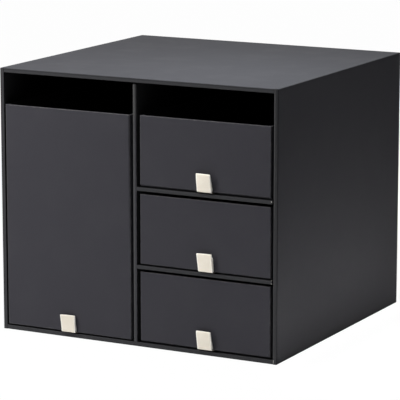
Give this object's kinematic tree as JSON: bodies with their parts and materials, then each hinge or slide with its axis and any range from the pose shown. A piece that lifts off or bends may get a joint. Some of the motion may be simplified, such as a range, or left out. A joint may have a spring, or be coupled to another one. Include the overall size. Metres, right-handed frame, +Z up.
{
  "type": "desktop drawer organizer",
  "caption": "Box-shaped desktop organizer of dark paper-covered board with a tall drawer beside stacked shallow drawers, open slots above them and folded leather pull tabs.",
  "frame": {"origin": "centre of the case's underside, on the surface that it stands on", "axes": "+X to the right seen from the front, +Y to the back, +Z up; the drawers open towards -Y"},
  "size_m": [0.335, 0.3207, 0.29],
  "materials": {
    "case_paper": "matte, fine linen grain, dark charcoal, over solid greyboard",
    "drawer_paper": "matte, fine linen grain, dark charcoal, over solid greyboard",
    "back_lining": "matte, plain lining paper over solid greyboard",
    "tab_leather": "matte, smooth, cream"
  },
  "bodies": {
    "case": {"left_side_panel": "case_paper", "right_side_panel": "case_paper", "bottom_panel": "case_paper", "top_panel": "case_paper", "back_panel": "back_lining", "centre_divider": "case_paper", "lower_shelf": "case_paper", "upper_shelf": "case_paper"},
    "tall_drawer": {"tall_drawer_front": "drawer_paper", "tall_drawer_back": "drawer_paper", "tall_drawer_left_side": "drawer_paper", "tall_drawer_right_side": "drawer_paper", "tall_drawer_floor": "drawer_paper", "tall_drawer_pull_tab": "tab_leather"},
    "top_drawer": {"top_drawer_front": "drawer_paper", "top_drawer_back": "drawer_paper", "top_drawer_left_side": "drawer_paper", "top_drawer_right_side": "drawer_paper", "top_drawer_floor": "drawer_paper", "top_drawer_pull_tab": "tab_leather"},
    "middle_drawer": {"middle_drawer_front": "drawer_paper", "middle_drawer_back": "drawer_paper", "middle_drawer_left_side": "drawer_paper", "middle_drawer_right_side": "drawer_paper", "middle_drawer_floor": "drawer_paper", "middle_drawer_pull_tab": "tab_leather"},
    "bottom_drawer": {"bottom_drawer_front": "drawer_paper", "bottom_drawer_back": "drawer_paper", "bottom_drawer_left_side": "drawer_paper", "bottom_drawer_right_side": "drawer_paper", "bottom_drawer_floor": "drawer_paper", "bottom_drawer_pull_tab": "tab_leather"}
  },
  "joints": [
    {"name": "tall_drawer_slide", "type": "slide", "parent": "case", "child": "tall_drawer", "axis": [0, -1, 0], "range_m": [0, 0.24]},
    {"name": "top_drawer_slide", "type": "slide", "parent": "case", "child": "top_drawer", "axis": [0, -1, 0], "range_m": [0, 0.24]},
    {"name": "middle_drawer_slide", "type": "slide", "parent": "case", "child": "middle_drawer", "axis": [0, -1, 0], "range_m": [0, 0.24]},
    {"name": "bottom_drawer_slide", "type": "slide", "parent": "case", "child": "bottom_drawer", "axis": [0, -1, 0], "range_m": [0, 0.24]}
  ]
}
